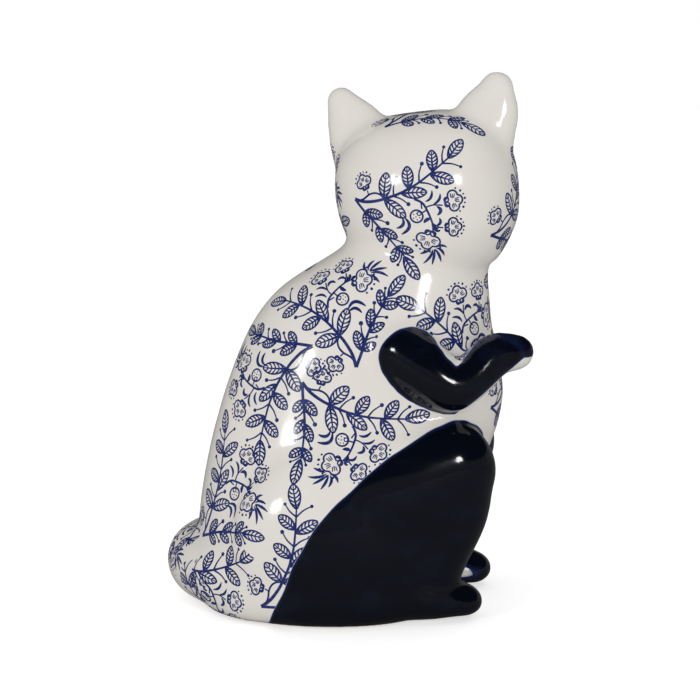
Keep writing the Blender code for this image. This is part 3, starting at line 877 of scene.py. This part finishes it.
def blossom(x, y, angle, radius):
    # three round lobes, open towards the stalk, with two small rings and a fringe of dots
    lobe, spread = 0.47 * radius, 0.56 * radius
    t = np.linspace(-math.pi, math.pi, 46, endpoint=False)
    rho = np.zeros_like(t)
    for way in (-75, 0, 75, 180):
        away = t - math.radians(way)
        size, far = (lobe, spread) if way != 180 else (lobe * 0.8, spread * 0.55)
        under = size**2 - (far * np.sin(away)) ** 2
        rho = np.maximum(rho, np.where(under > 0, far * np.cos(away) + np.sqrt(np.maximum(under, 0)), 0))
    ribbon(placed(np.stack([rho * np.cos(t), rho * np.sin(t)], 1), x, y, angle), sprig["petalWidth"] / 2,
           closed=True)
    for side in (-1, 1):
        cx, cy = placed([(-0.5 * radius, side * 0.24 * radius)], x, y, angle)[0]
        ring(cx, cy, 0.22 * radius, 0.8, 12)
    for way in (-75, 0, 75):
        for k in (-1, 0, 1):
            start = 0.32 if k else 0.26
            marks = np.array([(start, k * 0.13), (start + 0.42, k * 0.2)]) * radius
            marks = placed(marks, 0, 0, way)
            brushLine(placed(marks, x, y, angle), 0.6, (1.0, 0.8))
    for way in (-64, -40, -20, 0, 20, 40, 64):
        cx, cy = placed(placed([(1.27 * radius, 0)], 0, 0, way), x, y, angle)[0]
        dot(cx, cy, 0.1 * radius if way % 40 else 0.13 * radius, 7)


def drawSprig(flowers):
    # one array of points and one of triangles
    flatMarks.clear()
    brushLine(sprig["mainStem"], sprig["stemWidth"], (1.5, 0.7))
    brushLine(sprig["mainLoop"], sprig["stemWidth"], (0.9, 0.8))
    brushLine(sprig["lowStem"], sprig["stemWidth"], (1.4, 0.7))
    for row in sprig["mainLeaves"] + sprig["lowLeaves"]:
        leaf(*row)
    for row in sprig["mainBerries"] + sprig["lowBerries"]:
        berry(*row)
    blossom(*sprig["blossoms"][0])
    brushLine(sprig["stalks"][0], sprig["stalkWidth"])
    if flowers:
        brushLine(sprig["sideStem"], sprig["stemWidth"] * 0.95, (1.1, 0.8))
        for stalk in sprig["stalks"][1:]:
            brushLine(stalk, sprig["stalkWidth"])
        for line, width in sprig["curls"]:
            curl(line, width * sprig["curlBolder"])
        for line in sprig["crest"]:
            curl(line, 1.5, 0.8)
        for row in sprig["blossoms"][1:]:
            blossom(*row)
        fx, fy, fr = sprig["fruit"]
        ring(fx, fy, fr, sprig["petalWidth"], 18)
        ring(fx + 0.42 * fr, fy + 0.42 * fr, 0.3 * fr, 0.6, 10)
        for px, py in sprig["seeds"]:
            dot(fx + px * fr, fy + py * fr, 0.38, 6)
    points, made, start = [], [], 0
    for p, t in flatMarks:
        points.append(p)
        made.append(t + start)
        start += len(p)
    return np.concatenate(points), np.concatenate(made)


skinTree = BVHTree.FromPolygons([Vector(p) for p in wholeSkin[:, :3].tolist()], wholeTris.tolist())


def onSkin(points):
    # nearest places on the glaze and the smooth normals there
    place = np.empty((len(points), 3))
    face = np.empty(len(points), int)
    for k, p in enumerate(points.tolist()):
        near = skinTree.find_nearest(p)
        place[k] = near[0]
        face[k] = near[2]
    corner = wholeTris[face]
    a, b, c = (wholeSkin[corner[:, k], :3] for k in range(3))
    whole = np.cross(b - a, c - a)
    area = (whole**2).sum(1) + 1e-18
    v = (np.cross(place - a, c - a) * whole).sum(1) / area
    w = (np.cross(b - a, place - a) * whole).sum(1) / area
    share = np.clip(np.stack([1 - v - w, v, w], 1), 0, 1)
    normal = (wholeSkin[corner, 3:6] * share[:, :, None]).sum(1)
    return place, normal / np.linalg.norm(normal, axis=1)[:, None]


def walkOut(anchor, headings, reach, step=1.3):
    # straightest paths over the skin from one place; headings in radians, counted from the level
    # direction that points right when the skin is looked at from outside
    start, normal = onSkin(np.array([anchor], float))
    n = normal[0]
    up = np.array([0, 0, 1.0]) if abs(n[2]) < 0.96 else np.array([0, 1.0, 0])
    up = up - n * (up @ n)
    up /= np.linalg.norm(up)
    level = np.cross(n, up)          # these millimetres are left-handed
    way = np.outer(np.cos(headings), level) + np.outer(np.sin(headings), up)
    here = np.repeat(start, len(headings), 0)
    trail = [here]
    for _ in range(int(math.ceil(reach / step))):
        here, n = onSkin(here + way * step)
        way = way - n * (way * n).sum(1)[:, None]
        way /= np.linalg.norm(way, axis=1)[:, None]
        trail.append(here)
    return np.stack(trail, 1)


def layOnSkin(flat, anchor, angle, reach):
    # lays a flat drawing on the skin round its middle, without creases
    spokes, step = 60, 1.3
    trail = walkOut(anchor, np.linspace(0, 2 * math.pi, spokes, endpoint=False), reach, step)
    radius = np.hypot(flat[:, 0], flat[:, 1])
    turn = (np.arctan2(flat[:, 1], flat[:, 0]) + math.radians(angle)) / (2 * math.pi) * spokes % spokes
    s, r = turn.astype(int) % spokes, np.minimum((radius / step).astype(int), trail.shape[1] - 2)
    ds, dr = (turn - turn.astype(int))[:, None], (radius / step - r)[:, None]
    near = trail[s, r] * (1 - dr) + trail[s, r + 1] * dr
    far = trail[(s + 1) % spokes, r] * (1 - dr) + trail[(s + 1) % spokes, r + 1] * dr
    return onSkin(near * (1 - ds) + far * ds)


print("skin ready for printing")

prints = {
    # parts of the sprig: the middle of the part, how far it reaches, and whether it has its flowers
    "parts": {
        "whole": ((30, -5), 52, True), "branches": ((30, -5), 52, False), "short": ((30, -5), 40, True),
        "shorter": ((30, -5), 34, True), "root": ((30, -5), 30, True), "upperHalf": ((48, 4), 27, True),
        "bigBlossom": ((42, -24), 11, True), "tip": ((46, 12), 13, True), "foot": ((20, -8), 26, True),
        "topLeaves": ((45, 5), 24, True), "footLeaves": ((12, -8), 24, True),
    },
    # where a sprig's middle lies on the skin, its angle there, and the part of it
    "torsoPrint": [
        ((-37.9, -2.0, 160.5), 117, "whole"), ((-49.5, -3.5, 100.6), 318, "whole"),
        ((-33.7, -42.1, 126.8), 223, "whole"), ((-40.0, -61.0, 62.2), 58, "whole"),
        ((-66.9, -18.4, 28.9), 47, "whole"), ((-25.4, 64.5, 144.0), 93, "whole"),
        ((-51.1, -60.1, 16.6), 342, "upperHalf"), ((35, -41, 124), 291, "whole"),
        ((41, -57, 69), 345, "whole"), ((1, 62, 49), 221, "whole"), ((34.5, -4, 167), 351, "whole"),
        ((7, 80, 111), 17, "whole"), ((54, 3.5, 89), 86, "whole"), ((29, 54, 167), 119, "whole"),
        ((5, -81, 40), 292, "root"), ((66, -26, 44), 184, "shorter"),
    ],
    "headPrint": [
        ((-37.5, 30.5, 210.2), 1, "whole"), ((-1.2, 43.1, 258.6), 133, "branches"),
        ((-3.0, 87.0, 207.9), 34, "short"), ((15.3, -5.6, 211.6), 68, "short"),
    ],
    "tailPrint": [
        ((-18.2, -91.1, 25.4), 86, "bigBlossom"), ((-35.5, -80.4, 15.3), 68, "tip"),
        ((44, -70, 30), 10, "foot"), ((76, -20, 24), 190, "topLeaves"), ((74, 30, 22), 350, "footLeaves"),
    ],
}


def ownGround(name, place):
    # millimetres inside the ground that a piece's sprigs keep to: the torso's end under the head,
    # and on the left side they and the tail's end at the crease between them
    beyond = np.full(len(place), 9.0)
    crease = chainDistance(place, tail["rows"], tail["margin"]) - 0.4
    onLeft = np.clip((place[:, 0] - 4) * 4, 0, 1)
    if name == "torsoPrint":
        return np.minimum(sprig["topOfTorso"] - place[:, 2], onLeft * crease + (1 - onLeft) * beyond)
    if name == "tailPrint":
        return -onLeft * (crease + 0.8) + (1 - onLeft) * beyond
    return beyond


def inkPiece(name, place, normal, made, slots=None, materials=None):
    # keeps the ink off the cobalt and the bare foot, and on its own ground
    offCobalt = cobaltDistance(place) - sprig["offCobalt"]
    offFoot = place[:, 2] - sprig["offFoot"]
    inside = np.stack([offCobalt, ownGround(name, place), offFoot], 1)
    rows = np.concatenate([place + normal * sprig["lift"], normal, inside], 1)
    if slots is None:
        for column in (6, 7, 8):
            rows, made = splitAlong(rows, made, column)
            made = made[rows[made][:, :, column].mean(1) > 0]
    piece = pieceFrom(name, rows, made, materials or [inkMaterial], slots, edge=6)
    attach(piece, "root")
    print(name, "printed:", len(made), "faces")
    return piece


def printSprigs(name, places):
    place, normal, made, start = [], [], [], 0
    for spot, angle, part in places:
        middle, reach, flowers = prints["parts"][part]
        flat, flatTris = drawSprig(flowers)
        away = flat - np.array(middle)
        inside = np.hypot(away[:, 0], away[:, 1]) < reach
        keep = flatTris[inside[flatTris].all(1)]
        used, local = np.unique(keep, return_inverse=True)
        p, n = layOnSkin(away[used], spot, angle, reach + 2)
        place.append(p)
        normal.append(n)
        made.append(local.reshape(-1, 3) + start)
        start += len(p)
    return inkPiece(name, np.concatenate(place), np.concatenate(normal), np.concatenate(made))


for name in ("torsoPrint", "headPrint", "tailPrint"):
    printSprigs(name, prints[name])

face = {
    # the head's own millimetres: x to the cat's left, y up
    "eye": {"x": 17.5, "y": 3.5, "tilt": 12, "length": 19, "height": 10.5, "iris": 4.6},
    "nose": {"y": -9.0, "half": 4.6, "drop": 5.2},
    "mouth": [(0, -14), (0.2, -17.5), (3.2, -20.6), (7.2, -20.8), (10.6, -18.2)],
    "brows": [[(10, 16), (16, 18.8), (24, 16.5)]],
    "whiskers": [
        [(14, -12.5), (24, -10.5), (36, -11.5)], [(14.5, -15), (25, -15.5), (36, -18.5)],
        [(13.5, -17.8), (23, -20.8), (32, -25.5)],
    ],
    "whiskerDots": [(7.5, -12), (10.8, -12.8), (8.5, -15), (11.8, -16), (7.8, -18)],
    "forehead": [[(0, 19), (0.2, 26), (0, 33)], [(5, 21.5), (6.5, 27), (7.2, 31.5)]],
    # the last lift is for the white dot on each eye, a painted highlight
    "ink": 1.0, "washLift": 0.05, "inkLift": 0.09, "highlightLift": 0.14,
}


def fillShape(outline, layers=6):
    # a filled patch in rings, so that it can bend with the skin
    middle = outline.mean(0)
    n = len(outline)
    shells = [middle + (outline - middle) * (1 - k / layers) for k in range(layers)]
    made = []
    for k in range(layers - 1):
        for i in range(n):
            j = (i + 1) % n
            a, b, c, d = k * n + i, k * n + j, (k + 1) * n + j, (k + 1) * n + i
            made += [(a, b, c), (a, c, d)]
    made += [((layers - 1) * n + i, (layers - 1) * n + (i + 1) % n, layers * n) for i in range(n)]
    flatMarks.append((np.concatenate(shells + [middle[None]]), np.array(made)))


def anticlockwise(outline):
    # the way round that fillShape and the ribbons need
    x, y = outline.T
    area = (x * np.roll(y, -1) - np.roll(x, -1) * y).sum()
    return outline if area > 0 else outline[::-1]


def almond(side):
    eye = face["eye"]
    t = np.linspace(0, math.pi, 15)
    upper = np.stack([-np.cos(t) * eye["length"] / 2, np.sin(t) ** 0.85 * eye["height"] * 0.56], 1)
    lower = np.stack([np.cos(t) * eye["length"] / 2, -np.sin(t) ** 0.95 * eye["height"] * 0.44], 1)
    whole = np.concatenate([upper, lower[1:-1]])
    return anticlockwise(placed(whole, eye["x"], eye["y"], eye["tilt"]) * (side, 1))


def faceMarks():
    # wash, ink and painted highlight marks, drawn one above the other
    eye, nose = face["eye"], face["nose"]
    groups = []
    round24 = np.linspace(0, 2 * math.pi, 24, endpoint=False)
    circle = np.stack([np.cos(round24), np.sin(round24)], 1)
    flatMarks.clear()
    for side in (-1, 1):
        middle = np.array([side * eye["x"], eye["y"] + 0.4])
        fillShape(middle + circle * eye["iris"])
    groups.append(list(flatMarks))
    flatMarks.clear()
    for side in (-1, 1):
        ribbon(almond(side), 0.5, closed=True)
        end = eye["length"] / 2
        upperLid = [(-end - 1.2, -0.6), (-5, 4.9), (0, 6.4), (5, 5.4), (end + 2.4, 1.4)]
        curl(placed(upperLid, eye["x"], eye["y"], eye["tilt"]) * (side, 1), 2.0)
        middle = np.array([side * eye["x"], eye["y"] + 0.4])
        ribbon(middle + circle * eye["iris"], 0.3, closed=True)
        fillShape(middle + circle * (1.7, 4.0), 4)
        brushLine(np.array(face["mouth"]) * (side, 1), face["ink"], (1.2, 0.4))
        for line in face["brows"]:
            curl(np.array(line) * (side, 1), 1.3)
        for line in face["whiskers"]:
            brushLine(np.array(line) * (side, 1), 0.8, (1.2, 0.35))
        for x, y in face["whiskerDots"]:
            dot(side * x, y, 0.55, 8)
        for line in face["forehead"][1:]:
            curl(np.array(line) * (side, 1), 1.7)
    curl(face["forehead"][0], 1.9)
    wing = [(0, -nose["drop"]), (nose["half"] * 0.55, -nose["drop"] * 0.62), (nose["half"], -0.4),
            (nose["half"] * 0.75, 0.9), (0, 0.5)]
    half = evenly(wing, 0.8)
    outline = np.concatenate([half, (half * (-1, 1))[::-1][1:-1]]) + (0, nose["y"])
    fillShape(anticlockwise(outline), 5)
    groups.append(list(flatMarks))
    flatMarks.clear()
    # a small white dot on each eye: a painted highlight
    for side in (-1, 1):
        fillShape(np.array([side * eye["x"] + 1.5, eye["y"] + 2.2]) + circle * 0.8, 2)
    groups.append(list(flatMarks))
    return groups


def onFace(flat):
    # straight back onto the head from in front of the face
    axes = headAxes()
    local = np.stack([flat[:, 0], np.full(len(flat), 90.0), flat[:, 1]], 1)
    start = local @ axes + np.array(head["centre"])
    hits = np.array([skinTree.ray_cast(Vector(p), Vector(-axes[1]))[0] for p in start.tolist()])
    return onSkin(hits)


def paintFace():
    rows, made, slots, start = [], [], [], 0
    for slot, (group, lift) in enumerate(zip(faceMarks(), ("washLift", "inkLift", "highlightLift"))):
        for flat, triangles in group:
            place, normal = onFace(flat)
            rows.append(np.concatenate([place + normal * (face[lift] - sprig["lift"]), normal], 1))
            made.append(triangles + start)
            slots += [slot] * len(triangles)
            start += len(flat)
    rows = np.concatenate(rows)
    inkPiece("headFace", rows[:, :3], rows[:, 3:6], np.concatenate(made), np.array(slots),
             [washMaterial, inkMaterial, eyeHighlightMaterial])


washMaterial = tintedGlaze("blueWash", glazes["wash"], glazes["washPale"])
# white glaze colour for the painted highlight dots on the eyes
eyeHighlightMaterial = tintedGlaze("paintedEyeHighlight", glazes["white"], glazes["whiteWarm"])
paintFace()

underside = {
    # radius and height up the drain hole and round the dark inside, in millimetres
    "drainProfile": [
        (11.6, -0.02), (11.1, 0.25), (10.95, 0.8), (10.95, 4.6), (11.3, 5.1), (12.2, 5.4), (24, 5.6),
        (36, 6.4), (43, 10), (46, 18), (45, 34), (38, 50), (22, 62), (8, 66), (0.5, 66.5),
    ],
    "pad": {"radius": 6.9, "thick": 1.55, "bevel": 0.35, "rough": 0.09},
    "pads": {
        "frontRight": (-30, 44), "frontLeft": (30, 44), "rearRight": (-38, -48), "rearLeft": (38, -48),
    },
}


def lathe(profile, around, middle, inward=False):
    t = np.linspace(0, 2 * np.pi, around, endpoint=False)
    points = np.concatenate([
        np.stack([middle[0] + r * np.cos(t), middle[1] + r * np.sin(t), np.full(around, z)], 1)
        for r, z in profile])
    made = []
    for k in range(len(profile) - 1):
        for i in range(around):
            j = (i + 1) % around
            made += [(k * around + i, k * around + j, (k + 1) * around + j),
                     (k * around + i, (k + 1) * around + j, (k + 1) * around + i)]
    made = np.array(made)
    return points, made if inward else made[:, ::-1]


def drainHole():
    profile = np.array(underside["drainProfile"], float)
    points, made = lathe(spline(profile, 46), 72, (0.0, drain["forward"]), inward=True)
    normals = vertexNormals(points, made, 1)
    rows = np.concatenate([points, normals, np.full((len(points), 1), 5.0)], 1)
    hole = pieceFrom("torsoDrainHole", rows, made, [bareMaterial], edge=6)
    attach(hole, "root")


def feltPad(name, node, middle):
    pad = underside["pad"]
    r, b, low = pad["radius"], pad["bevel"], -footprint["lift"]
    high = low + pad["thick"]
    profile = [
        (0.05, low), (r * 0.3, low), (r * 0.6, low), (r * 0.85, low), (r - b, low),
        (r - 0.1, low + 0.12), (r, low + b), (r + 0.05, (low + high) / 2), (r, high - b),
        (r - b, high), (r * 0.6, high), (0.05, high),
    ]
    points, made = lathe(profile, 56, (0.0, 0.0))
    # the cut edge of felt is never quite round
    turn = np.arctan2(points[:, 1], points[:, 0])
    wobble = 1 + pad["rough"] / r * (np.sin(9 * turn + middle[0]) + 0.6 * np.sin(23 * turn + middle[1]))
    points[:, :2] = points[:, :2] * wobble[:, None] + middle
    rows = np.concatenate([points, vertexNormals(points, made, 0), np.full((len(points), 1), 5.0)], 1)
    piece = pieceFrom(name, rows, made, [feltMaterial], edge=6)
    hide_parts(node)
    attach(piece, "root")


feltMaterial = felt()
drainHole()
for place, spot in underside["pads"].items():
    node = "felt_pad_" + place.replace("Right", "_right").replace("Left", "_left")
    feltPad("feltPad" + place[0].upper() + place[1:], node, spot)
print("underside finished")

studio = {
    "azimuth": 273.0, "elevation": 9.7, "distance": 1.2, "lens": 117.6,
    "target": (-0.0075, -0.0013, 0.1348),
    "floor": 4.0, "fill": 0.59, "paperWhite": 1.0, "horizon": 0.22, "mirrorLow": 0.15, "mirrorHigh": 0.01,
    "paperTone": 0.86, "paperGlow": 0.55, "paperMirror": 0.2, "horizonBlur": 0.012,
    # azimuth, elevation, distance, width across, watts
    "lamps": [(234, 13, 1.6, 0.27, 4.6), (297, 14, 1.6, 0.27, 4.6)],
}


def lookFrom(azimuth, elevation):
    a, e = math.radians(azimuth), math.radians(elevation)
    return Vector((math.sin(a) * math.cos(e), -math.cos(a) * math.cos(e), math.sin(e)))


aim = Vector(studio["target"])
back = lookFrom(studio["azimuth"], studio["elevation"])
lens = bpy.data.cameras.new("camera")
lens.lens = studio["lens"]
lens.sensor_width = 36.0
lens.clip_end = 50.0
camera = bpy.data.objects.new("camera", lens)
camera.location = aim + back * studio["distance"]
camera.rotation_euler = back.to_track_quat("Z", "Y").to_euler()
bpy.context.scene.collection.objects.link(camera)
bpy.context.scene.camera = camera

floorMesh = bpy.data.meshes.new("floor")
half = studio["floor"]
corners = [(-half, -half, 0), (half, -half, 0), (half, half, 0), (-half, half, 0)]
floorMesh.from_pydata(corners, [], [(0, 1, 2, 3)])
floorObject = bpy.data.objects.new("floor", floorMesh)
bpy.context.scene.collection.objects.link(floorObject)
paper, tree, shader = newMaterial("paper")
shader.inputs["Roughness"].default_value = 0.9
shader.inputs["Specular IOR Level"].default_value = 0.1
ray = addNode(tree, "ShaderNodeLightPath", (-700, 0))
# darker in the glaze's mirror, and glowing to the camera so that its edge is lost in the backdrop
paperTone = mixColour(tree, (-200, 100), (studio["paperTone"],) * 3, (studio["paperMirror"],) * 3,
                      ray.outputs["Is Glossy Ray"])
tree.links.new(paperTone, shader.inputs["Base Color"])
glow = maths(tree, (-200, -200), "MULTIPLY", ray.outputs["Is Camera Ray"], studio["paperGlow"])
shader.inputs["Emission Color"].default_value = (1, 1, 1, 1)
tree.links.new(glow, shader.inputs["Emission Strength"])
floorMesh.materials.append(paper)

world = bpy.data.worlds.new("studio")
world.use_nodes = True
tree = world.node_tree
tree.nodes["Background"].inputs["Color"].default_value = (1, 1, 1, 1)
ray = addNode(tree, "ShaderNodeLightPath", (-900, 300))
direction = addNode(tree, "ShaderNodeTexCoord", (-1300, 0))
part = addNode(tree, "ShaderNodeSeparateXYZ", (-1100, 0), [(0, direction.outputs["Generated"])])
# what the glaze mirrors: a dim room with a darker ceiling
low, high = studio["horizon"] - studio["horizonBlur"], studio["horizon"] + studio["horizonBlur"]
room = remap(tree, (-900, 0), part.outputs["Z"], low, high, studio["mirrorLow"], studio["mirrorHigh"],
             "SMOOTHSTEP")
fill = maths(tree, (-600, 200), "MULTIPLY_ADD", ray.outputs["Is Camera Ray"],
             studio["paperWhite"] - studio["fill"], studio["fill"])
strength = addNode(tree, "ShaderNodeMix", (-350, 100),
                   [(0, ray.outputs["Is Glossy Ray"]), (2, fill), (3, room)])
tree.links.new(strength.outputs[0], tree.nodes["Background"].inputs["Strength"])
bpy.context.scene.world = world
bpy.context.scene.view_settings.view_transform = "Standard"

for k, (lampAzimuth, lampElevation, away, wide, watts) in enumerate(studio["lamps"]):
    out = lookFrom(lampAzimuth, lampElevation)
    disc = bpy.data.lights.new("softLamp%d" % k, "AREA")
    disc.shape = "DISK"
    disc.size = wide
    disc.energy = watts
    lamp = bpy.data.objects.new("softLamp%d" % k, disc)
    lamp.location = aim + out * away
    lamp.rotation_euler = out.to_track_quat("Z", "Y").to_euler()
    bpy.context.scene.collection.objects.link(lamp)
print("studio lit")
